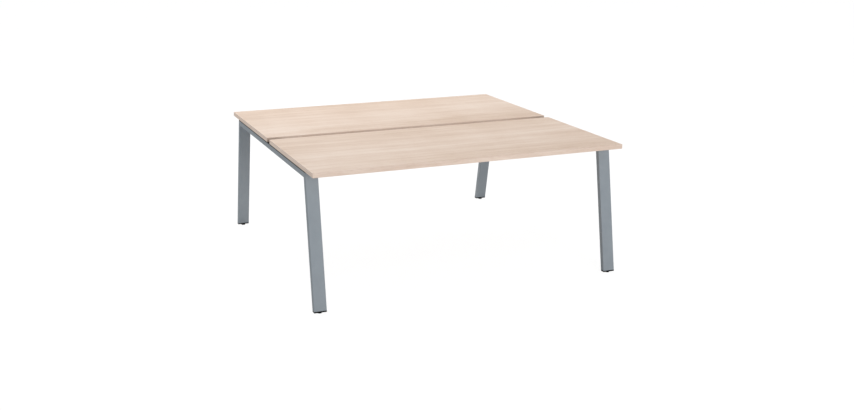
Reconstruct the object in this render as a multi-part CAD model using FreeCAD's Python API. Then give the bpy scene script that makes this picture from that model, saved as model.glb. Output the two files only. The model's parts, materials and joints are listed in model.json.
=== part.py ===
import FreeCAD, Part
import math
import os

# Benching desk for two: two worktops, an open cable gap between them, on two splayed end frames.
# Millimetres. X runs along the desk, Y from the front seat to the rear seat, Z up from the floor.

# Worktops
desk_length = 1800.0
desk_height = 750.0
top_depth = 800.0
top_thickness = 25.0
cable_gap = 50.0
band_thickness = 2.0
band_rounding = 1.2

# End frames of one rectangular tube, its wide side along the desk
tube_width = 70.0
tube_depth = 30.0
tube_wall = 2.0
tube_rounding = 4.0
leg_splay = math.radians(10.0)
foot_inset = 5.0

# Long beams under the worktops and their end plates
beam_width = 30.0
beam_height = 60.0
beam_wall = 2.0
beam_rounding = 3.0
plate_width = 110.0
plate_thickness = 5.0
plate_rounding = 6.0

# Bolts from the end plates into rivet nuts in the rails
bolt_spacing = 80.0
bolt_diameter = 8.0
bolt_length = 20.0
bolt_head_flats = 13.0
bolt_head_height = 5.3
bolt_washer_diameter = 16.0
bolt_washer_thickness = 1.6
plate_hole_clearance = 0.5
rivet_nut_diameter = 11.0
rivet_nut_length = 16.0
rivet_flange_diameter = 16.0
rivet_flange_thickness = 1.5

# Worktop screws, driven up through the rails and beams into threaded inserts
screw_diameter = 6.0
screw_reach = 11.0
screw_head_diameter = 10.5
screw_head_height = 4.0
screw_key_flats = 4.0
screw_key_depth = 2.4
screw_washer_diameter = 14.0
screw_washer_thickness = 1.6
screw_hole_clearance = 0.3
insert_diameter = 10.0
insert_length = 13.0
insert_hole_spare = 1.0
rail_screw_from_gap = 200.0
rail_screw_from_corner = 45.0
beam_screw_from_end = 150.0

# Spacers that hold the worktops off the frame: a strip along each rail, discs on the beams
spacer_thickness = 4.0
strip_end_inset = 5.0
strip_rounding = 3.0
disc_diameter = 20.0

# Plugs in the screws' access holes
access_hole_diameter = 15.0
plug_head_diameter = 19.0
plug_head_thickness = 1.5
plug_rounding = 0.8
plug_grip = 2.5

# Levelling feet
pad_diameter = 24.0
pad_height = 4.0
pad_floor = 1.2
pad_rounding = 1.0
stem_diameter = 8.0
stem_length = 40.0
collar_diameter = 12.0
collar_height = 1.4
spanner_flats = 13.0
spanner_height = 2.5
cap_flange = 7.5
cap_rounding = 0.8
cap_plug_length = 25.0
cap_plug_clearance = 0.25
bush_diameter = 11.0
bush_length = 18.0
bush_flange_diameter = 16.0
bush_flange_thickness = 2.0

# Clearances
running_clearance = 0.1
thread_clearance = 0.1
seat_clearance = 0.1
retracted_clearance = 0.2
cut_overrun = 20.0
hexagon_corners = 6
full_turn = 360.0
parallel_tolerance = 1e-6
height_tolerance = 1e-4

# Places worked out from the sizes above
top_underside = desk_height - top_thickness
rail_top = top_underside - spacer_thickness
rail_bottom = rail_top - tube_depth
rail_middle_height = rail_top - tube_depth / 2
rail_middle_x = desk_length / 2 - tube_width / 2
rail_inner_x = desk_length / 2 - tube_width
desk_half_depth = cable_gap / 2 + top_depth
foot_reach = desk_half_depth - foot_inset
spanner_bottom = pad_height + running_clearance
spanner_top = spanner_bottom + spanner_height
cap_bottom = spanner_top + retracted_clearance
leg_end = cap_bottom + cap_flange
beam_y = cable_gap / 2 + top_depth / 2
beam_bottom = rail_top - beam_height
plate_outer_x = rail_inner_x - rivet_flange_thickness
beam_end_x = plate_outer_x - plate_thickness
collar_bottom = pad_floor + running_clearance
screw_hole_radius = screw_diameter / 2 + screw_hole_clearance
access_hole_radius = access_hole_diameter / 2

ends = {"left": -1, "right": 1}
sides = {"front": -1, "rear": 1}


def vector(x, y, z):
    return FreeCAD.Vector(x, y, z)


def block(x_pair, y_pair, z_pair):
    """Box between two planes on each axis, given in either order."""
    low = vector(min(x_pair), min(y_pair), min(z_pair))
    high = vector(max(x_pair), max(y_pair), max(z_pair))
    size = high - low
    return Part.makeBox(size.x, size.y, size.z, low)


def upright_rod(radius, x, y, low, high):
    return Part.makeCylinder(radius, high - low, vector(x, y, low))


def lengthwise_rod(radius, start_x, end_x, y, z):
    low = min(start_x, end_x)
    return Part.makeCylinder(radius, abs(end_x - start_x), vector(low, y, z), vector(1, 0, 0))


def hexagon(across_flats, centre, first_corner, direction):
    """Six-sided bar that starts at centre, with one corner of its section towards first_corner."""
    corner_radius = across_flats / 2 / math.cos(math.pi / hexagon_corners)
    corner = first_corner * corner_radius
    turn = FreeCAD.Rotation(direction, full_turn / hexagon_corners)
    corners = []
    for _ in range(hexagon_corners):
        corners.append(centre + corner)
        corner = turn.multVec(corner)
    return Part.Face(Part.makePolygon(corners + corners[:1])).extrude(direction)


def edges_along(solid, direction):
    """Straight edges of a solid that run the given way."""
    unit = vector(direction.x, direction.y, direction.z).normalize()
    chosen = []
    for edge in solid.Edges:
        run = edge.Vertexes[-1].Point - edge.Vertexes[0].Point
        if run.Length > 0 and run.cross(unit).Length < parallel_tolerance * run.Length:
            chosen.append(edge)
    return chosen


def edges_at_height(solid, height):
    """Edges of a solid that lie flat at a height."""
    chosen = []
    for edge in solid.Edges:
        if all(abs(point.z - height) < height_tolerance for point in edge.discretize(3)):
            chosen.append(edge)
    return chosen


def bar_of_outline(outline, middle_x, width, rounding):
    """Bar of an outline in Y and Z, as wide as given along X, with the long edges of the tube rounded."""
    corners = [vector(middle_x - width / 2, y, z) for y, z in outline]
    bar = Part.Face(Part.makePolygon(corners + corners[:1])).extrude(vector(width, 0, 0))
    if rounding <= 0:
        return bar
    return bar.makeFillet(rounding, edges_along(bar, corners[1] - corners[0]))


def leg_face_y(height, depth):
    """How far from the desk's middle a leg's plane lies, at a height and a depth in from its outer face."""
    lean = (height - leg_end) * math.tan(leg_splay)
    return foot_reach - lean - depth / math.cos(leg_splay)


def leg_bar(end, side, inset, low, high_outer, high_inner):
    """Bar along a leg, set in from the tube's outer faces on all sides."""
    outer = inset
    inner = tube_depth - inset
    outline = [
        (side * leg_face_y(low, outer), low),
        (side * leg_face_y(high_outer, outer), high_outer),
        (side * leg_face_y(high_inner, inner), high_inner),
        (side * leg_face_y(low, inner), low),
    ]
    return bar_of_outline(outline, end * rail_middle_x, tube_width - 2 * inset, tube_rounding - inset)


def mitre_height(depth):
    """Height of the mitre between rail and leg, at a depth in from both tubes' outer faces."""
    return rail_top - depth


def leg(end, side):
    outer = leg_bar(end, side, 0, leg_end, mitre_height(0), mitre_height(tube_depth))
    bore = leg_bar(
        end,
        side,
        tube_wall,
        leg_end - cut_overrun,
        mitre_height(tube_wall) + cut_overrun,
        mitre_height(tube_depth - tube_wall) + cut_overrun,
    )
    return outer.cut(bore)


def rail_bar(end, inset, overrun):
    """Bar along a rail, set in from the tube's outer faces, with its ends on the mitres or past them."""
    upper = mitre_height(inset)
    lower = mitre_height(tube_depth - inset)
    upper_reach = leg_face_y(upper, inset) + overrun
    lower_reach = leg_face_y(lower, tube_depth - inset) + overrun
    outline = [(-upper_reach, upper), (upper_reach, upper), (lower_reach, lower), (-lower_reach, lower)]
    return bar_of_outline(outline, end * rail_middle_x, tube_width - 2 * inset, tube_rounding - inset)


def rail_screw_places(end, side):
    """Screw places on one rail under one worktop."""
    corner = leg_face_y(rail_bottom, tube_depth)
    reaches = [cable_gap / 2 + rail_screw_from_gap, corner - rail_screw_from_corner]
    return [(end * rail_middle_x, side * reach) for reach in reaches]


def beam_screw_places(side):
    """Screw places along one beam."""
    outermost = beam_end_x - beam_screw_from_end
    return [(x, side * beam_y) for x in (-outermost, 0, outermost)]


def worktop_screw_places(side):
    """Every screw place under one worktop, with the lower face and the wall of the tube it goes through."""
    places = []
    for end in ends.values():
        places += [(x, y, rail_bottom, tube_wall) for x, y in rail_screw_places(end, side)]
    places += [(x, y, beam_bottom, beam_wall) for x, y in beam_screw_places(side)]
    return places


def bolt_places(side):
    """How far along the rail the bolts of one beam's end plate lie."""
    return [side * beam_y + step * bolt_spacing / 2 for step in (-1, 1)]


def drill_screw_way(tube, x, y, bottom, wall):
    """Opens the access hole in a tube's lower wall and the screw hole in its upper wall."""
    access = upright_rod(access_hole_radius, x, y, bottom - cut_overrun, bottom + wall)
    hole = upright_rod(screw_hole_radius, x, y, bottom, rail_top + cut_overrun)
    return tube.cut(access).cut(hole)


def rail(end):
    tube = rail_bar(end, 0, 0).cut(rail_bar(end, tube_wall, cut_overrun))
    nut_hole_radius = rivet_nut_diameter / 2 + seat_clearance
    wall_faces = (end * rail_inner_x, end * (rail_inner_x + tube_wall))
    for side in sides.values():
        for x, y in rail_screw_places(end, side):
            tube = drill_screw_way(tube, x, y, rail_bottom, tube_wall)
        for y in bolt_places(side):
            tube = tube.cut(lengthwise_rod(nut_hole_radius, *wall_faces, y, rail_middle_height))
    return tube


def beam(side):
    def beam_bar(inset, reach):
        y_pair = (side * beam_y - beam_width / 2 + inset, side * beam_y + beam_width / 2 - inset)
        bar = block((-reach, reach), y_pair, (beam_bottom + inset, rail_top - inset))
        if beam_rounding <= inset:
            return bar
        return bar.makeFillet(beam_rounding - inset, edges_along(bar, vector(1, 0, 0)))

    tube = beam_bar(0, beam_end_x).cut(beam_bar(beam_wall, beam_end_x + cut_overrun))
    for x, y in beam_screw_places(side):
        tube = drill_screw_way(tube, x, y, beam_bottom, beam_wall)
    return tube


def end_plate(end, side):
    middle = side * beam_y
    y_pair = (middle - plate_width / 2, middle + plate_width / 2)
    plate = block((end * plate_outer_x, end * beam_end_x), y_pair, (beam_bottom, rail_top))
    plate = plate.makeFillet(plate_rounding, edges_along(plate, vector(1, 0, 0)))
    radius = bolt_diameter / 2 + plate_hole_clearance
    for y in bolt_places(side):
        start = end * (beam_end_x - cut_overrun)
        plate = plate.cut(lengthwise_rod(radius, start, end * rail_inner_x, y, rail_middle_height))
    return plate


def beam_bolt(end, y):
    seat = end * (beam_end_x - bolt_washer_thickness)
    shank = lengthwise_rod(bolt_diameter / 2, seat, seat + end * bolt_length, y, rail_middle_height)
    head_start = vector(seat, y, rail_middle_height)
    head = hexagon(bolt_head_flats, head_start, vector(0, 0, 1), vector(-end * bolt_head_height, 0, 0))
    return shank.fuse(head).removeSplitter()


def beam_washer(end, y):
    faces = (end * beam_end_x, end * (beam_end_x - bolt_washer_thickness))
    disc = lengthwise_rod(bolt_washer_diameter / 2, *faces, y, rail_middle_height)
    radius = bolt_diameter / 2 + plate_hole_clearance
    return disc.cut(lengthwise_rod(radius, *faces, y, rail_middle_height))


def rivet_nut(end, y):
    face = end * rail_inner_x
    far = face + end * rivet_nut_length
    barrel = lengthwise_rod(rivet_nut_diameter / 2, face, far, y, rail_middle_height)
    flange = lengthwise_rod(rivet_flange_diameter / 2, face, end * plate_outer_x, y, rail_middle_height)
    radius = bolt_diameter / 2 + thread_clearance
    thread = lengthwise_rod(radius, end * plate_outer_x, far, y, rail_middle_height)
    return barrel.fuse(flange).cut(thread).removeSplitter()


def worktop_board(side):
    inner = cable_gap / 2 + band_thickness
    outer = desk_half_depth - band_thickness
    half_length = desk_length / 2 - band_thickness
    board = block((-half_length, half_length), (side * inner, side * outer), (top_underside, desk_height))
    depth = insert_length + insert_hole_spare
    for x, y, _, _ in worktop_screw_places(side):
        radius = insert_diameter / 2 + seat_clearance
        board = board.cut(upright_rod(radius, x, y, top_underside - cut_overrun, top_underside + depth))
    return board


def long_band(side, outer_face, inner_face):
    """Edge band along the whole worktop; all its edges are rounded but those on the glued face."""
    half_length = desk_length / 2
    y_pair = (side * outer_face, side * inner_face)
    band = block((-half_length, half_length), y_pair, (top_underside, desk_height))
    glued_y = side * inner_face
    free_edges = [edge for edge in band.Edges if abs(edge.CenterOfMass.y - glued_y) > band_rounding / 2]
    return band.makeFillet(band_rounding, free_edges)


def end_band(end, side):
    """Edge band across a worktop's end, between the two long bands."""
    face = end * desk_length / 2
    glued = face - end * band_thickness
    y_pair = (side * (cable_gap / 2 + band_thickness), side * (desk_half_depth - band_thickness))
    band = block((glued, face), y_pair, (top_underside, desk_height))
    crosswise = edges_along(band, vector(0, 1, 0))
    free_edges = [edge for edge in crosswise if abs(edge.CenterOfMass.x - glued) > band_rounding / 2]
    return band.makeFillet(band_rounding, free_edges)


def worktop_screw(x, y, wall):
    seat = rail_top - wall - screw_washer_thickness
    shank = upright_rod(screw_diameter / 2, x, y, seat, top_underside + screw_reach)
    head = upright_rod(screw_head_diameter / 2, x, y, seat - screw_head_height, seat)
    key_start = vector(x, y, seat - screw_head_height)
    key = hexagon(screw_key_flats, key_start, vector(1, 0, 0), vector(0, 0, screw_key_depth))
    return shank.fuse(head).cut(key).removeSplitter()


def screw_washer(x, y, wall):
    high = rail_top - wall
    disc = upright_rod(screw_washer_diameter / 2, x, y, high - screw_washer_thickness, high)
    return disc.cut(upright_rod(screw_hole_radius, x, y, high - screw_washer_thickness, high))


def spacer_strip(end):
    """Strip along the whole width of a rail's top, across the cable gap, just short of the mitred corners."""
    x_pair = (end * rail_inner_x, end * desk_length / 2)
    reach = leg_face_y(rail_top, 0) - strip_end_inset
    strip = block(x_pair, (-reach, reach), (rail_top, top_underside))
    strip = strip.makeFillet(strip_rounding, edges_along(strip, vector(0, 0, 1)))
    for side in sides.values():
        for x, y in rail_screw_places(end, side):
            strip = strip.cut(upright_rod(screw_hole_radius, x, y, rail_top, top_underside))
    return strip


def spacer_disc(x, y):
    disc = upright_rod(disc_diameter / 2, x, y, rail_top, top_underside)
    return disc.cut(upright_rod(screw_hole_radius, x, y, rail_top, top_underside))


def worktop_insert(x, y):
    high = top_underside + insert_length
    barrel = upright_rod(insert_diameter / 2, x, y, top_underside, high)
    return barrel.cut(upright_rod(screw_diameter / 2 + thread_clearance, x, y, top_underside, high))


def access_plug(x, y, bottom, wall):
    head = upright_rod(plug_head_diameter / 2, x, y, bottom - plug_head_thickness, bottom)
    grip = upright_rod(access_hole_radius - seat_clearance, x, y, bottom, bottom + wall + plug_grip)
    rim = edges_at_height(head, bottom - plug_head_thickness)
    return head.makeFillet(plug_rounding, rim).fuse(grip).removeSplitter()


def foot_place(end, side):
    """Axis of a levelling foot, on the leg's own middle line halfway up the cap's plug."""
    middle_height = leg_end + cap_plug_length / 2
    return end * rail_middle_x, side * leg_face_y(middle_height, tube_depth / 2)


def end_cap(end, side):
    x, y = foot_place(end, side)
    flange = leg_bar(end, side, 0, cap_bottom, leg_end, leg_end)
    flange = flange.makeFillet(cap_rounding, edges_at_height(flange, cap_bottom))
    plug_top = leg_end + cap_plug_length
    plug = leg_bar(end, side, tube_wall + cap_plug_clearance, leg_end, plug_top, plug_top)
    barrel_way = upright_rod(bush_diameter / 2 + seat_clearance, x, y, cap_bottom, plug_top)
    recess_top = cap_bottom + bush_flange_thickness
    flange_recess = upright_rod(bush_flange_diameter / 2 + seat_clearance, x, y, cap_bottom, recess_top)
    return flange.fuse(plug).cut(barrel_way).cut(flange_recess).removeSplitter()


def foot_bush(end, side):
    x, y = foot_place(end, side)
    top = cap_bottom + bush_flange_thickness + bush_length
    barrel = upright_rod(bush_diameter / 2, x, y, cap_bottom, top)
    flange = upright_rod(bush_flange_diameter / 2, x, y, cap_bottom, cap_bottom + bush_flange_thickness)
    thread = upright_rod(stem_diameter / 2 + thread_clearance, x, y, cap_bottom, top)
    return barrel.fuse(flange).cut(thread).removeSplitter()


def foot_stem(end, side):
    x, y = foot_place(end, side)
    collar = upright_rod(collar_diameter / 2, x, y, collar_bottom, collar_bottom + collar_height)
    shank = upright_rod(stem_diameter / 2, x, y, collar_bottom, collar_bottom + stem_length)
    flats_start = vector(x, y, spanner_bottom)
    flats = hexagon(spanner_flats, flats_start, vector(1, 0, 0), vector(0, 0, spanner_height))
    return shank.fuse(collar).fuse(flats).removeSplitter()


def foot_pad(end, side):
    """Round glide that holds the stem's collar captive under a lip, and swivels on it."""
    x, y = foot_place(end, side)
    disc = upright_rod(pad_diameter / 2, x, y, 0, pad_height)
    disc = disc.makeFillet(pad_rounding, edges_at_height(disc, pad_height))
    socket_top = collar_bottom + collar_height + running_clearance
    socket = upright_rod(collar_diameter / 2 + running_clearance, x, y, pad_floor, socket_top)
    lip_hole = upright_rod(stem_diameter / 2 + running_clearance, x, y, pad_floor, pad_height)
    return disc.cut(socket).cut(lip_hole)


def grouped(solids):
    return Part.makeCompound(list(solids))


def worktop_nodes():
    nodes = {}
    inner = cable_gap / 2
    for name, side in sides.items():
        nodes[name + "_worktop_board"] = worktop_board(side)
        nodes[name + "_outer_edge_band"] = long_band(side, desk_half_depth, desk_half_depth - band_thickness)
        nodes[name + "_gap_edge_band"] = long_band(side, inner, inner + band_thickness)
        for end_name, end in ends.items():
            nodes[f"{name}_{end_name}_edge_band"] = end_band(end, side)
    return nodes


def frame_nodes():
    nodes = {}
    for name, side in sides.items():
        nodes[name + "_beam"] = beam(side)
    for end_name, end in ends.items():
        nodes[end_name + "_rail"] = rail(end)
        nodes[end_name + "_spacer_strip"] = spacer_strip(end)
        for name, side in sides.items():
            nodes[f"{end_name}_{name}_leg"] = leg(end, side)
            nodes[f"{end_name}_{name}_end_plate"] = end_plate(end, side)
    return nodes


def foot_nodes():
    nodes = {}
    bushes = []
    for end_name, end in ends.items():
        for name, side in sides.items():
            foot = f"{end_name}_{name}"
            nodes[foot + "_leg_cap"] = end_cap(end, side)
            nodes[foot + "_foot_stem"] = foot_stem(end, side)
            nodes[foot + "_foot_pad"] = foot_pad(end, side)
            bushes.append(foot_bush(end, side))
    nodes["foot_bushes"] = grouped(bushes)
    return nodes


def fastener_nodes():
    bolts = [(end, y) for end in ends.values() for side in sides.values() for y in bolt_places(side)]
    screws = [place for side in sides.values() for place in worktop_screw_places(side)]
    discs = [place for side in sides.values() for place in beam_screw_places(side)]
    return {
        "beam_bolts": grouped(beam_bolt(end, y) for end, y in bolts),
        "beam_washers": grouped(beam_washer(end, y) for end, y in bolts),
        "rail_rivet_nuts": grouped(rivet_nut(end, y) for end, y in bolts),
        "worktop_screws": grouped(worktop_screw(x, y, wall) for x, y, _, wall in screws),
        "screw_washers": grouped(screw_washer(x, y, wall) for x, y, _, wall in screws),
        "beam_spacers": grouped(spacer_disc(x, y) for x, y in discs),
        "worktop_inserts": grouped(worktop_insert(x, y) for x, y, _, _ in screws),
        "access_hole_plugs": grouped(access_plug(*place) for place in screws),
    }


os.makedirs("parts", exist_ok=True)
for nodes in (worktop_nodes(), frame_nodes(), foot_nodes(), fastener_nodes()):
    for node, shape in nodes.items():
        shape.exportStep(os.path.join("parts", node + ".step"))
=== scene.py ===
import json
import math

import bmesh
import bpy
from mathutils import Matrix, Vector


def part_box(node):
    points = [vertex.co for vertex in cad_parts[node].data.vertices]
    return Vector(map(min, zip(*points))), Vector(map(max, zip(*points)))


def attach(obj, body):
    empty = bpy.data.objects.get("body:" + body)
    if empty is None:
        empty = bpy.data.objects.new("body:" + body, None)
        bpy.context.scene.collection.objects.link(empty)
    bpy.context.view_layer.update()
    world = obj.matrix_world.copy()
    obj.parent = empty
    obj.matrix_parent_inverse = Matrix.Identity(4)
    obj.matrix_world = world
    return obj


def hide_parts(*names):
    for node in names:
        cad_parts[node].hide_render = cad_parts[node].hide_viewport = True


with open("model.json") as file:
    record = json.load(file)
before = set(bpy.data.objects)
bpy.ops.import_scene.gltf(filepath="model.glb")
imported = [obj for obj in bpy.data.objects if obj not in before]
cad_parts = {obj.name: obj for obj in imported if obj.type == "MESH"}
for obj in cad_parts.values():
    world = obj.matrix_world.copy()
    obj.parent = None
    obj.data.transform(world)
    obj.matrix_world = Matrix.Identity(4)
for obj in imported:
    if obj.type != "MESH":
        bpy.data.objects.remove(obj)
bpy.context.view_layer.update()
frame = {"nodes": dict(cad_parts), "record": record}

# Benching desk for two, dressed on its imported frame.
# Metres. X runs along the desk, Y from the front seat to the rear seat, Z up from the floor.

millimetre = 0.001
right_angle = math.radians(90.0)
ends = {"left": -1, "right": 1}
sides = {"front": -1, "rear": 1}
corners = [(end, side) for end in ends for side in sides]

# Picture and viewpoint. Pixels count from the picture's upper left corner.
picture_width = 854
picture_height = 410
camera_place = (-2.3897, -5.52555, 2.04972)
camera_turn = math.radians(20.629)
camera_tilt = math.radians(-14.311)
focal_length_in_pixels = 1030.68
aim_pixel = (365.59, 165.0)
sensor_width = 36.0

# Studio. The camera sees through the floor by its clearness, and the lift keeps what it sees white.
white = (1.0, 1.0, 1.0, 1.0)
world_level = 0.53
overhead_watts = 131.0
overhead_size = 3.0
overhead_place = (-0.5, 3.0, 4.5)
overhead_target = (0.0, 0.0, 0.7)
front_watts = 80.0
front_size = 1.6
front_place = (0.3, -5.2, 1.4)
front_target = (0.0, 0.0, 0.4)
floor_size = 60.0
floor_colour = (0.9, 0.9, 0.9, 1.0)
floor_clearness = 0.86
floor_lift = 0.09

# Mesh making
merge_distance = 0.002 * millimetre
joining_overlap = 0.5 * millimetre
turning_steps = 64
rim_segments = 3
crisp_angle = math.radians(30.0)

# Threads and hexagons
thread_diameter = 8.0 * millimetre
thread_pitch = 1.25 * millimetre
thread_depth = 0.7 * millimetre
thread_crest = 0.2 * millimetre
thread_steps = 28
thread_spare_turns = 2
hexagon_sides = 6
hexagon_flats = 13.0 * millimetre
chamfer_slope = math.tan(math.radians(30.0))

# Levelling feet. They are alike, and one of them is measured for all.
measured_foot = "left_front"
collar_radius = 6.0 * millimetre
collar_height = 1.4 * millimetre
running_clearance = 0.1 * millimetre
retracted_clearance = 0.2 * millimetre
glide_rounding = 0.8 * millimetre
glide_rounding_segments = 5
glide_draft = 0.3 * millimetre
glide_foot_rounding = 0.4 * millimetre
glide_edge_break = 0.15 * millimetre
parting_height = 1.9 * millimetre
parting_step = 0.25 * millimetre
sole_dish = 0.5 * millimetre
sole_inner_radius = 8.0 * millimetre

# Bolts of the end plates. Each is turned further than the one before.
bolt_spacing = 80.0 * millimetre
bolt_head_height = 5.3 * millimetre
bolt_length = 20.0 * millimetre
bolt_turn = math.radians(23.0)
washer_face_height = 0.4 * millimetre
washer_face_radius = 6.1 * millimetre
washer_thickness = 1.6 * millimetre
washer_radius = 8.0 * millimetre
washer_hole_radius = 4.5 * millimetre
washer_rounding = 0.25 * millimetre

# Welds: a row of drops under one skin
plate_weld_radius = 3.5 * millimetre
corner_weld_radius = 2.8 * millimetre
weld_step = 2.2 * millimetre
weld_drop_length = 0.7
weld_drop_segments = 24
weld_drop_rings = 14
weld_skin = 0.4 * millimetre
weld_smooth_angle = math.radians(60.0)
leg_splay = math.radians(10.0)
tube_rounding = 4.0 * millimetre
beam_rounding = 3.0 * millimetre

# Noises: stretch in patches per metre along X, Y and Z, then detail and roughness
wander_noise = (0.8, 2.2, 2.2), 2.0, 0.5
tone_noise = (0.6, 14.0, 14.0), 3.0, 0.55
streak_noise = (3.0, 40.0, 40.0), 6.0, 0.65
patch_noise = (3.6, 1.2, 1.2), 2.0, 0.5
pore_noise = (30.0, 1000.0, 1000.0), 1.0, 0.5
height_noise = (1300.0, 1300.0, 1300.0), 2.0, 0.55
cloud_noise = (14.0, 14.0, 14.0), 3.0, 0.55

# Ranges: a layer's full one, and the parts of a noise that are spread over it
full_range = (0.0, 1.0)
noise_span = (0.3, 0.7)
pore_span = (0.6, 0.74)

# Wood figure. The wave turn is that of the wave texture's sine, in radians per metre at a scale of one.
wander_reach = 0.05
wave_turn = 20.0
# Painted light and shade on the worktops: a slanting wave, lightest along each board's middle and darkest
# towards its front and rear edges.
painted_light_slant = math.radians(11.0)
# The worktops' figure takes a share of that painted light and shade.
worktop_shares = {"Streak": 0.5, "Patch": 0.25, "Painted_light": 0.25}
band_shares = {"Streak": 0.7, "Patch": 0.25}
figure_stops = (0.15, 0.5, 0.85)
decor_specular = 0.25
decor_roughness = (0.6, 0.5)
pore_strength = 0.55
pore_depth = 0.06 * millimetre
pore_relief = 0.6
coat_relief = 0.5

# Shades from dark to light, in the eight-bit values of a picture
decor_shades = (210, 185, 164), (226, 204, 186), (237, 219, 204)
# One edge band in two copies: painted darker along the length as painted shade, and painted lighter across
# the ends as painted light.
long_band_shades_painted_darker = (206, 183, 166), (217, 196, 181), (226, 208, 194)
end_band_shades_painted_lighter = (221, 199, 182), (232, 212, 197), (241, 224, 210)
pore_shade = (214, 188, 164)
powder_coat_shades = (141, 149, 156), (146, 154, 161)
black_plastic_shades = (15, 15, 16), (20, 20, 21)
zinc_shades = (196, 199, 203), (212, 211, 205)


def middle_of(node):
    low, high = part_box(node)
    return (low + high) / 2


# Modelling by hand


def begin(name, add_primitive, **shape):
    """Adds a primitive as the only selected object, names it and opens it for editing."""
    bpy.ops.object.select_all(action="DESELECT")
    add_primitive(enter_editmode=True, **shape)
    bpy.ops.mesh.select_mode(type="VERT")
    piece = bpy.context.object
    piece.name = name
    piece.data.name = name
    return piece


def open_piece():
    """Opens the active piece for editing."""
    bpy.ops.object.mode_set(mode="EDIT")


def close_piece():
    """Ends the editing of the open piece."""
    bpy.ops.object.mode_set(mode="OBJECT")


def choose(piece, kind, wanted):
    """Selects the vertices, edges or faces of the open piece that answer to a test."""
    bpy.ops.mesh.select_mode(type=kind)
    bpy.ops.mesh.select_all(action="DESELECT")
    shape = bmesh.from_edit_mesh(piece.data)
    for part in {"VERT": shape.verts, "EDGE": shape.edges, "FACE": shape.faces}[kind]:
        if wanted(part):
            part.select_set(True)
    shape.select_flush_mode()
    bmesh.update_edit_mesh(piece.data)


def draw_line(name, points):
    """Opens a new piece that is one line of (radius, height) points, drawn by extruding a vertex."""
    piece = begin(name, bpy.ops.mesh.primitive_plane_add, size=1.0)
    bpy.ops.mesh.merge(type="CENTER")
    pen = Vector((0.0, 0.0, 0.0))
    for number, (radius, height) in enumerate(points):
        target = Vector((radius, 0.0, height))
        step = {"value": target - pen}
        if number == 0:
            bpy.ops.transform.translate(**step)
        else:
            bpy.ops.mesh.extrude_region_move(TRANSFORM_OT_translate=step)
        pen = target
    return piece


def tidy_shell():
    """Merges the open piece's doubled points and turns its faces outwards."""
    bpy.ops.mesh.select_all(action="SELECT")
    bpy.ops.mesh.remove_doubles(threshold=merge_distance)
    bpy.ops.mesh.normals_make_consistent(inside=False)


def cut_away(place, kept_side):
    """Cuts the open piece flat at a place, keeps the side that a normal points to and closes the cut."""
    bpy.ops.mesh.select_all(action="SELECT")
    bpy.ops.mesh.bisect(
        plane_co=place,
        plane_no=kept_side,
        use_fill=True,
        clear_inner=True,
        threshold=merge_distance,
    )


def turned(name, outline):
    """Turned piece: an outline of (radius, height) points, from axis to axis or closed, spun about Z."""
    piece = draw_line(name, outline)
    bpy.ops.mesh.select_all(action="SELECT")
    bpy.ops.mesh.spin(steps=turning_steps, angle=math.tau, center=(0, 0, 0), axis=(0, 0, 1))
    tidy_shell()
    return piece


def round_rim(piece, radius, height, amount, segments=rim_segments):
    """Rounds the circular edge of a turned piece at a radius and a height."""

    def on_rim(edge):
        return all(
            abs(v.co.z - height) < merge_distance and abs(v.co.xy.length - radius) < merge_distance
            for v in edge.verts
        )

    choose(piece, "EDGE", on_rim)
    bpy.ops.mesh.bevel(offset=amount, segments=segments, affect="EDGES")


def finish_mesh(smooth_angle=crisp_angle):
    """Closes the open piece and smooths its round stretches."""
    close_piece()
    bpy.ops.object.shade_smooth_by_angle(angle=smooth_angle)


def apply_modifier(piece, kind, **settings):
    """Adds a modifier with its settings and applies it."""
    modifier = piece.modifiers.new(kind.lower(), kind)
    for name, value in settings.items():
        setattr(modifier, name, value)
    bpy.ops.object.select_all(action="DESELECT")
    piece.select_set(True)
    bpy.context.view_layer.objects.active = piece
    bpy.ops.object.modifier_apply(modifier=modifier.name)


def combine(piece, tool, operation):
    """Joins a tool to a piece, or keeps only what they share, removes the tool and cleans the seam."""
    apply_modifier(piece, "BOOLEAN", operation=operation, object=tool, solver="EXACT")
    bpy.data.objects.remove(tool)
    open_piece()
    tidy_shell()
    close_piece()


def copy_to(master, name, place):
    """Copy of a modelled piece with its own mesh, at a place given as a matrix."""
    copy = master.copy()
    copy.data = master.data.copy()
    copy.name = name
    copy.data.name = name
    bpy.context.scene.collection.objects.link(copy)
    copy.data.transform(place)
    return copy


def fit(piece, body, slot, *replaced_nodes):
    """Mounts a piece on its body, in its slot's finish, in place of any node that it stands for."""
    piece.data.materials.clear()
    piece.data.materials.append(finishes[slot])
    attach(piece, body)
    if replaced_nodes:
        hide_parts(*replaced_nodes)


# Colours and shader nodes


def painted(red, green, blue):
    """Scene colour of a paint given in the eight-bit values of a picture, by the sRGB curve."""

    def linear(value):
        share = value / 255
        return share / 12.92 if share <= 0.04045 else ((share + 0.055) / 1.055) ** 2.4

    return linear(red), linear(green), linear(blue), 1.0


def add_node(tree, kind, inputs=None, **options):
    """Adds a shader node with its options and the fixed values of its inputs."""
    made = tree.nodes.new("ShaderNode" + kind)
    for name, value in options.items():
        setattr(made, name, value)
    for name, value in (inputs or {}).items():
        made.inputs[name].default_value = value
    return made


def stretched_noise(tree, place, stretch, detail, roughness):
    """Noise over a place, finer or coarser on each axis by its stretch in patches per metre."""
    mapping = add_node(tree, "Mapping", {"Scale": stretch})
    noise = add_node(tree, "TexNoise", {"Scale": 1.0, "Detail": detail, "Roughness": roughness})
    tree.links.new(place, mapping.inputs["Vector"])
    tree.links.new(mapping.outputs["Vector"], noise.inputs["Vector"])
    return noise


def between(tree, value, given, wanted):
    """Output that spreads a value from a given range over a wanted one."""
    limits = {"From Min": given[0], "From Max": given[1], "To Min": wanted[0], "To Max": wanted[1]}
    spread = add_node(tree, "MapRange", limits)
    tree.links.new(value, spread.inputs["Value"])
    return spread.outputs["Result"]


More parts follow.
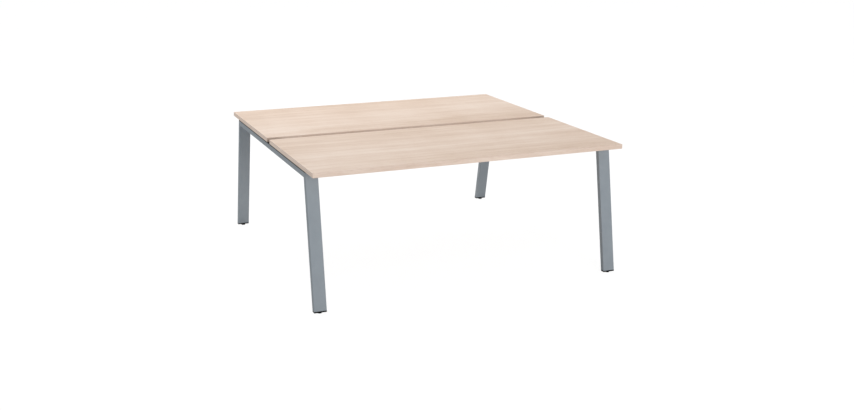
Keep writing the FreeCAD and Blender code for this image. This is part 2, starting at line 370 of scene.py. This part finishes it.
def weighted(tree, first, second, share):
    """Output that mixes two values, with the given share of the second."""
    mix = add_node(tree, "Mix", {"Factor": share}, data_type="FLOAT")
    tree.links.new(first, mix.inputs["A"])
    tree.links.new(second, mix.inputs["B"])
    return mix.outputs["Result"]


def ramp(tree, value, stops, shades):
    """Colour ramp over a value, with a shade at each stop."""
    node = add_node(tree, "ValToRGB")
    elements = node.color_ramp.elements
    while len(elements) < len(stops):
        elements.new(stops[len(elements) - 1])
    for element, stop, shade in zip(elements, stops, shades):
        element.position = stop
        element.color = painted(*shade)
    tree.links.new(value, node.inputs["Fac"])
    return node.outputs["Color"]


def bumped(tree, shader, height, distance, strength):
    """Bump of a real depth on a surface."""
    bump = add_node(tree, "Bump", {"Distance": distance, "Strength": strength})
    tree.links.new(height, bump.inputs["Height"])
    tree.links.new(bump.outputs["Normal"], shader.inputs["Normal"])


def new_group(name, outputs):
    """Node group that takes a place and puts out named values."""
    group = bpy.data.node_groups.new(name, "ShaderNodeTree")
    group.interface.new_socket("Place", in_out="INPUT", socket_type="NodeSocketVector")
    for output in outputs:
        group.interface.new_socket(output, in_out="OUTPUT", socket_type="NodeSocketFloat")
    return group, group.nodes.new("NodeGroupInput"), group.nodes.new("NodeGroupOutput")


def straight_grain_group():
    """Wood grain along X: long tones, streaks, patches across it and dark pores, with a slanting wave of
    painted light along each board's middle and painted shade towards its front and rear edges.
    """
    layers = {
        "Tone": (tone_noise, noise_span),
        "Streak": (streak_noise, noise_span),
        "Patch": (patch_noise, noise_span),
        "Pore": (pore_noise, pore_span),
    }
    group, given, result = new_group("straight_grain", [*layers, "Painted_light"])
    wander = stretched_noise(group, given.outputs["Place"], *wander_noise)
    sway = add_node(group, "VectorMath", operation="MULTIPLY_ADD")
    sway.inputs[1].default_value = (0.0, wander_reach, wander_reach)
    group.links.new(wander.outputs["Color"], sway.inputs[0])
    group.links.new(given.outputs["Place"], sway.inputs[2])
    place = sway.outputs["Vector"]
    for layer, (noise, span) in layers.items():
        value = stretched_noise(group, place, *noise).outputs["Fac"]
        group.links.new(between(group, value, span, full_range), result.inputs[layer])
    # Painted light and shade: a slanting wave that is lightest along each board's middle.
    board_pitch = middle_of("rear_worktop_board").y - middle_of("front_worktop_board").y
    slanted = add_node(group, "Mapping", {"Rotation": (0.0, 0.0, -painted_light_slant)})
    painted_light_wave = add_node(group, "TexWave", {"Scale": math.tau / wave_turn / board_pitch}, bands_direction="Y")
    group.links.new(place, slanted.inputs["Vector"])
    group.links.new(slanted.outputs["Vector"], painted_light_wave.inputs["Vector"])
    group.links.new(painted_light_wave.outputs["Fac"], result.inputs["Painted_light"])
    return group


def fine_texture_group():
    """Fine surface texture and slow cloudiness of a coated, moulded or plated surface."""
    group, given, result = new_group("fine_texture", ["Height", "Cloud"])
    height = stretched_noise(group, given.outputs["Place"], *height_noise)
    cloud = stretched_noise(group, given.outputs["Place"], *cloud_noise)
    group.links.new(height.outputs["Fac"], result.inputs["Height"])
    group.links.new(between(group, cloud.outputs["Fac"], noise_span, full_range), result.inputs["Cloud"])
    return group


def new_finish(name, **surface):
    """Material with a principled surface of fixed values, as the material, its nodes and the surface."""
    material = bpy.data.materials.new(name)
    material.use_nodes = True
    tree = material.node_tree
    shader = tree.nodes["Principled BSDF"]
    for socket, value in surface.items():
        shader.inputs[socket.replace("_", " ")].default_value = value
    return material, tree, shader


def place_group(tree, group, crosswise=False):
    """Puts a group into a material on object coordinates, turned to run along Y where asked."""
    coordinates = add_node(tree, "TexCoord")
    placed = add_node(tree, "Group", node_tree=group)
    place = coordinates.outputs["Object"]
    if crosswise:
        turn = add_node(tree, "Mapping", {"Rotation": (0.0, 0.0, right_angle)})
        tree.links.new(place, turn.inputs["Vector"])
        place = turn.outputs["Vector"]
    tree.links.new(place, placed.inputs["Place"])
    return placed


def wood_decor(name, grain, shades, shares, crosswise=False):
    """Printed wood decor: its figure in three shades, with painted light and shade where its shares take
    the painted light layer, darker pores and a faint pressed texture.
    """
    finish, tree, shader = new_finish(name, Specular_IOR_Level=decor_specular)
    placed = place_group(tree, grain, crosswise)
    figure = placed.outputs["Tone"]
    for layer, share in shares.items():
        figure = weighted(tree, figure, placed.outputs[layer], share)
    body = ramp(tree, figure, figure_stops, shades)
    pores = add_node(tree, "Mix", data_type="RGBA", blend_type="MULTIPLY")
    pores.inputs["B"].default_value = painted(*pore_shade)
    darkening = between(tree, placed.outputs["Pore"], full_range, (0.0, pore_strength))
    tree.links.new(darkening, pores.inputs["Factor"])
    tree.links.new(body, pores.inputs["A"])
    tree.links.new(pores.outputs["Result"], shader.inputs["Base Color"])
    gloss = between(tree, placed.outputs["Streak"], full_range, decor_roughness)
    tree.links.new(gloss, shader.inputs["Roughness"])
    height = between(tree, placed.outputs["Pore"], full_range, (1.0, 0.0))
    bumped(tree, shader, height, pore_depth, pore_relief)
    return finish


def coated(name, texture, shades, roughness, depth, **surface):
    """Even coat, moulding or plating: slow cloudiness in colour, fine texture in gloss and height."""
    finish, tree, shader = new_finish(name, **surface)
    placed = place_group(tree, texture)
    colour = ramp(tree, placed.outputs["Cloud"], full_range, shades)
    tree.links.new(colour, shader.inputs["Base Color"])
    gloss = between(tree, placed.outputs["Height"], noise_span, roughness)
    tree.links.new(gloss, shader.inputs["Roughness"])
    bumped(tree, shader, placed.outputs["Height"], depth, coat_relief)
    return finish


wood_grain = straight_grain_group()
coat_texture = fine_texture_group()
finishes = {
    "worktop_decor": wood_decor("pale_wood_decor", wood_grain, decor_shades, worktop_shares),
    "edge_band": wood_decor("lengthwise_edge_band_painted_darker", wood_grain, long_band_shades_painted_darker, band_shares),
    "frame_powder_coat": coated(
        "grey_powder_coat",
        coat_texture,
        powder_coat_shades,
        roughness=(0.5, 0.62),
        depth=0.12 * millimetre,
        Specular_IOR_Level=0.2,
    ),
    "black_plastic": coated(
        "black_moulded_plastic",
        coat_texture,
        black_plastic_shades,
        roughness=(0.55, 0.7),
        depth=0.08 * millimetre,
        Specular_IOR_Level=0.06,
    ),
    "zinc_steel": coated(
        "bright_zinc_plate",
        coat_texture,
        zinc_shades,
        roughness=(0.28, 0.4),
        depth=0.03 * millimetre,
        Metallic=1.0,
    ),
}
# The end bands' copy of the edge band: grain along Y, shades painted lighter as painted light on the ends.
crosswise_band_painted_lighter = wood_decor("crosswise_edge_band_painted_lighter", wood_grain, end_band_shades_painted_lighter, band_shares, crosswise=True)


def paint_cad_nodes():
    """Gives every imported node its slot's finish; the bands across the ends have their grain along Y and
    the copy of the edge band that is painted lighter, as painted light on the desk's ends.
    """
    for subpart in frame["record"]["subparts"]:
        node = subpart["node"]
        finish = finishes[subpart["material_slot"]]
        if node.endswith(("left_edge_band", "right_edge_band")):
            finish = crosswise_band_painted_lighter
        frame["nodes"][node].material_slots[0].material = finish


# Pieces modelled over the frame


def spanner_hexagon(name, low, high, low_chamfered=True):
    """Hexagon with the arched chamfers of a turned nut, from a hexagonal bar and a chamfered disc."""
    flat = hexagon_flats / 2
    corner = flat / math.cos(math.pi / hexagon_sides)
    bar = begin(
        name,
        bpy.ops.mesh.primitive_cylinder_add,
        vertices=hexagon_sides,
        radius=corner,
        depth=high - low,
        location=(0, 0, (low + high) / 2),
    )
    close_piece()
    bpy.ops.object.transform_apply()
    reach = corner + joining_overlap
    chamfer = (reach - flat) * chamfer_slope
    low_rim = [(flat, low), (reach, low + chamfer)] if low_chamfered else [(reach, low)]
    high_rim = [(reach, high - chamfer), (flat, high)]
    disc = turned("chamfering_disc", [(0.0, low), *low_rim, *high_rim, (0.0, high)])
    close_piece()
    combine(bar, disc, "INTERSECT")
    return bar


def threaded_rod(name, low, high):
    """Rod with a running thread, cut square at both ends."""
    root = thread_diameter / 2 - thread_depth
    crest = thread_diameter / 2
    flank = (thread_pitch - thread_crest) / 2
    start = low - thread_pitch
    outline = [
        (root, start),
        (crest, start + flank),
        (crest, start + flank + thread_crest),
        (root, start + thread_pitch),
    ]
    rod = draw_line(name, outline)
    close_piece()
    apply_modifier(
        rod,
        "SCREW",
        screw_offset=thread_pitch,
        iterations=math.ceil((high - low) / thread_pitch) + thread_spare_turns,
        steps=thread_steps,
        render_steps=thread_steps,
        use_merge_vertices=True,
        merge_threshold=merge_distance,
    )
    open_piece()
    tidy_shell()
    for height, inwards in ((low, 1), (high, -1)):
        cut_away((0, 0, height), (0, 0, inwards))
    tidy_shell()
    close_piece()
    return rod


def foot_stem():
    """Levelling foot's stem: captive collar, spanner hexagon and running thread."""
    low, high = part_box(f"{measured_foot}_foot_stem")
    pad_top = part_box(f"{measured_foot}_foot_pad")[1].z
    cap_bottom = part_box(f"{measured_foot}_leg_cap")[0].z
    hexagon_low = pad_top + running_clearance
    hexagon_high = cap_bottom - retracted_clearance
    neck = thread_diameter / 2
    collar = turned(
        "foot_stem",
        [
            (0.0, low.z),
            (collar_radius, low.z),
            (collar_radius, low.z + collar_height),
            (neck, low.z + collar_height),
            (neck, hexagon_low + joining_overlap),
            (0.0, hexagon_low + joining_overlap),
        ],
    )
    close_piece()
    combine(collar, spanner_hexagon("spanner_hexagon", hexagon_low, hexagon_high), "UNION")
    combine(collar, threaded_rod("thread", hexagon_high - joining_overlap, high.z), "UNION")
    finish_mesh()
    return collar


def hexagon_bolt():
    """Bolt along Z with a chamfered head on a washer face; its seat is at zero, its shank below."""
    head = spanner_hexagon("beam_bolt", washer_face_height, bolt_head_height, low_chamfered=False)
    shank_radius = thread_diameter / 2
    shank = turned(
        "bolt_shank",
        [
            (0.0, bolt_head_height / 2),
            (washer_face_radius, bolt_head_height / 2),
            (washer_face_radius, 0.0),
            (shank_radius, 0.0),
            (shank_radius, thread_depth - bolt_length),
            (shank_radius - thread_depth, -bolt_length),
            (0.0, -bolt_length),
        ],
    )
    close_piece()
    combine(head, shank, "UNION")
    finish_mesh()
    return head


def plain_washer():
    """Stamped washer along Z with its lower face at zero, its upper rim rounded as stamping leaves it."""
    washer = turned(
        "beam_washer",
        [
            (washer_hole_radius, 0.0),
            (washer_radius, 0.0),
            (washer_radius, washer_thickness),
            (washer_hole_radius, washer_thickness),
            (washer_hole_radius, 0.0),
        ],
    )
    round_rim(washer, washer_radius, washer_thickness, washer_rounding)
    finish_mesh()
    return washer


def glide():
    """Moulded glide on a dished sole at zero, with a parting step and the socket of the stem's collar."""
    low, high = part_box(f"{measured_foot}_foot_pad")
    radius = (high.x - low.x) / 2
    upper_radius = radius - parting_step - glide_draft
    height = high.z - low.z
    neck = thread_diameter / 2 + running_clearance
    socket = collar_radius + running_clearance
    socket_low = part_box(f"{measured_foot}_foot_stem")[0].z - running_clearance
    socket_high = socket_low + collar_height + 2 * running_clearance
    moulded = turned(
        "glide",
        [
            (0.0, sole_dish),
            (sole_inner_radius - sole_dish, sole_dish),
            (sole_inner_radius, 0.0),
            (radius, 0.0),
            (radius, parting_height),
            (radius - parting_step, parting_height),
            (upper_radius, height),
            (neck, height),
            (neck, socket_high),
            (socket, socket_high),
            (socket, socket_low),
            (0.0, socket_low),
        ],
    )
    round_rim(moulded, radius, 0.0, glide_foot_rounding)
    round_rim(moulded, radius, parting_height, glide_edge_break)
    round_rim(moulded, upper_radius, height, glide_rounding, glide_rounding_segments)
    finish_mesh()
    return moulded


def weld_bead(name, radius, length, first_normal, second_normal):
    """Rippled weld bead along X about its middle, cut back to the two faces that it joins."""
    drops = math.floor((length - 2 * radius) / weld_step) + 1
    bead = begin(
        name,
        bpy.ops.mesh.primitive_uv_sphere_add,
        segments=weld_drop_segments,
        ring_count=weld_drop_rings,
        radius=radius,
        location=(-(drops - 1) * weld_step / 2, 0, 0),
    )
    bpy.ops.transform.resize(value=(weld_drop_length, 1.0, 1.0))
    close_piece()
    bpy.ops.object.transform_apply()
    apply_modifier(
        bead,
        "ARRAY",
        count=drops,
        use_relative_offset=False,
        use_constant_offset=True,
        constant_offset_displace=(weld_step, 0.0, 0.0),
    )
    apply_modifier(bead, "REMESH", mode="VOXEL", voxel_size=weld_skin)
    open_piece()
    for normal in (first_normal, second_normal):
        cut_away((0, 0, 0), normal)
    tidy_shell()
    finish_mesh(weld_smooth_angle)
    return bead


def put_feet():
    """Threaded stem and moulded glide of each foot, on the bodies that turn and travel."""
    stem = foot_stem()
    moulded = glide()
    for end, side in corners:
        foot = f"{end}_{side}"
        axis = middle_of(f"{foot}_foot_pad")
        place = Matrix.Translation((axis.x, axis.y, 0.0))
        threaded = copy_to(stem, f"{foot}_threaded_stem", place)
        fit(threaded, f"{foot}_screw", "zinc_steel", f"{foot}_foot_stem")
        sole = copy_to(moulded, f"{foot}_glide_sole", place)
        fit(sole, f"{foot}_glide", "black_plastic", f"{foot}_foot_pad")
    bpy.data.objects.remove(stem)
    bpy.data.objects.remove(moulded)


def put_bolts():
    """Bolt and washer at both sides of each beam's end, screwed outwards through the end plate."""
    bolt = hexagon_bolt()
    washer = plain_washer()
    places = [(end, side, step) for end, side in corners for step in (-1, 1)]
    for number, (end, side, step) in enumerate(places):
        plate = f"{end}_{side}_end_plate"
        inwards = -ends[end]
        plate_face = ends[end] * min(abs(point.x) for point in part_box(plate))
        bolt_y = middle_of(plate).y + step * bolt_spacing / 2
        seat = Vector((plate_face, bolt_y, middle_of(f"{end}_rail").z))
        on_washer = seat + Vector((inwards * washer_thickness, 0.0, 0.0))
        point_inwards = Matrix.Rotation(inwards * right_angle, 4, "Y")
        spun = point_inwards @ Matrix.Rotation(number * bolt_turn, 4, "Z")
        name = f"{end}_{side}_{'inner' if step * sides[side] < 0 else 'outer'}"
        disc = copy_to(washer, f"{name}_bolt_washer", Matrix.Translation(seat) @ spun)
        fit(disc, "desk", "zinc_steel", "beam_washers")
        screwed = copy_to(bolt, f"{name}_hexagon_bolt", Matrix.Translation(on_washer) @ spun)
        fit(screwed, "desk", "zinc_steel", "beam_bolts")
    bpy.data.objects.remove(bolt)
    bpy.data.objects.remove(washer)


def put_plate_welds():
    """Upright weld at both sides of each beam, where it meets its end plate."""
    beam_low, beam_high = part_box("front_beam")
    half_width = (beam_high.y - beam_low.y) / 2
    length = beam_high.z - beam_low.z - 2 * beam_rounding
    bead = weld_bead("plate_weld", plate_weld_radius, length, Vector((0, 1, 0)), Vector((0, 0, 1)))
    for end, side in corners:
        beam = middle_of(f"{side}_beam")
        from_plate = Vector((-ends[end], 0, 0))
        for step in (-1, 1):
            from_beam = Vector((0, step, 0))
            along = from_plate.cross(from_beam)
            facing = Matrix((along, from_plate, from_beam)).transposed().to_4x4()
            place = Vector((ends[end] * beam_high.x, beam.y + step * half_width, beam.z))
            name = f"{end}_{side}_plate_weld_{'front' if step < 0 else 'rear'}"
            fit(copy_to(bead, name, Matrix.Translation(place) @ facing), "desk", "frame_powder_coat")
    bpy.data.objects.remove(bead)


def put_corner_welds():
    """Weld across the inner corner of each rail and leg."""
    rail_low, rail_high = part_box("left_rail")
    length = rail_high.x - rail_low.x - 2 * tube_rounding
    under_rail = Vector((0, 0, -1))
    inside_front_leg = Vector((0, math.cos(leg_splay), -math.sin(leg_splay)))
    bead = weld_bead("corner_weld", corner_weld_radius, length, under_rail, inside_front_leg)
    half_turn = Matrix.Rotation(2 * right_angle, 4, "Z")
    for end, side in corners:
        rail = middle_of(f"{end}_rail")
        corner_reach = min(abs(point.y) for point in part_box(f"{end}_{side}_leg"))
        place = Matrix.Translation((rail.x, sides[side] * corner_reach, rail_low.z))
        if side == "rear":
            place = place @ half_turn
        fit(copy_to(bead, f"{end}_{side}_corner_weld", place), "desk", "frame_powder_coat")
    bpy.data.objects.remove(bead)


# Stage


def add_floor():
    """Pale floor that keeps a faint shadow of the desk and lets the camera see the white behind it."""
    bpy.ops.object.select_all(action="DESELECT")
    bpy.ops.mesh.primitive_plane_add(size=floor_size)
    floor = bpy.context.object
    floor.name = "floor"
    material = bpy.data.materials.new("pale_floor")
    material.use_nodes = True
    tree = material.node_tree
    tree.nodes.clear()
    rays = add_node(tree, "LightPath")
    surface = add_node(tree, "BsdfDiffuse", {"Color": floor_colour})
    clear = add_node(tree, "BsdfTransparent")
    lift = add_node(tree, "Emission", {"Strength": floor_lift})
    lifted = add_node(tree, "AddShader")
    mix = add_node(tree, "MixShader")
    output = add_node(tree, "OutputMaterial")
    seen_through = between(tree, rays.outputs["Is Camera Ray"], full_range, (0.0, floor_clearness))
    tree.links.new(seen_through, mix.inputs[0])
    tree.links.new(surface.outputs["BSDF"], mix.inputs[1])
    tree.links.new(clear.outputs["BSDF"], lifted.inputs[0])
    tree.links.new(lift.outputs["Emission"], lifted.inputs[1])
    tree.links.new(lifted.outputs["Shader"], mix.inputs[2])
    tree.links.new(mix.outputs["Shader"], output.inputs["Surface"])
    floor.data.materials.append(material)


def add_world():
    """White surroundings for the camera and reflections, and soft light of a plain level on the desk."""
    world = bpy.data.worlds.new("white_studio")
    bpy.context.scene.world = world
    world.use_nodes = True
    tree = world.node_tree
    background = tree.nodes["Background"]
    background.inputs["Color"].default_value = white
    rays = add_node(tree, "LightPath")
    camera_or_gloss = add_node(tree, "Math", operation="MAXIMUM")
    any_seen = add_node(tree, "Math", operation="MAXIMUM")
    tree.links.new(rays.outputs["Is Camera Ray"], camera_or_gloss.inputs[0])
    tree.links.new(rays.outputs["Is Glossy Ray"], camera_or_gloss.inputs[1])
    tree.links.new(camera_or_gloss.outputs["Value"], any_seen.inputs[0])
    tree.links.new(rays.outputs["Is Transmission Ray"], any_seen.inputs[1])
    strength = between(tree, any_seen.outputs["Value"], full_range, (world_level, 1.0))
    tree.links.new(strength, background.inputs["Strength"])


def add_softbox(name, watts, size, place, target):
    """Square soft light that faces a target."""
    lamp = bpy.data.lights.new(name, "AREA")
    lamp.shape = "SQUARE"
    lamp.size = size
    lamp.energy = watts
    softbox = bpy.data.objects.new(name, lamp)
    bpy.context.scene.collection.objects.link(softbox)
    softbox.location = place
    softbox.rotation_euler = (Vector(target) - Vector(place)).to_track_quat("-Z", "Y").to_euler()


def add_camera():
    """Camera at the picture's viewpoint, shifted as the picture is framed."""
    lens = bpy.data.cameras.new("camera")
    lens.sensor_width = sensor_width
    lens.lens = focal_length_in_pixels * sensor_width / picture_width
    lens.shift_x = (picture_width / 2 - aim_pixel[0]) / picture_width
    lens.shift_y = (aim_pixel[1] - picture_height / 2) / picture_width
    camera = bpy.data.objects.new("camera", lens)
    bpy.context.scene.collection.objects.link(camera)
    camera.location = camera_place
    camera.rotation_euler = (right_angle + camera_tilt, 0.0, -camera_turn)
    bpy.context.scene.camera = camera


paint_cad_nodes()
put_feet()
put_bolts()
put_plate_welds()
put_corner_welds()

add_floor()
add_world()
add_softbox("overhead_softbox", overhead_watts, overhead_size, overhead_place, overhead_target)
add_softbox("front_softbox", front_watts, front_size, front_place, front_target)
add_camera()
bpy.context.scene.view_settings.view_transform = "Standard"
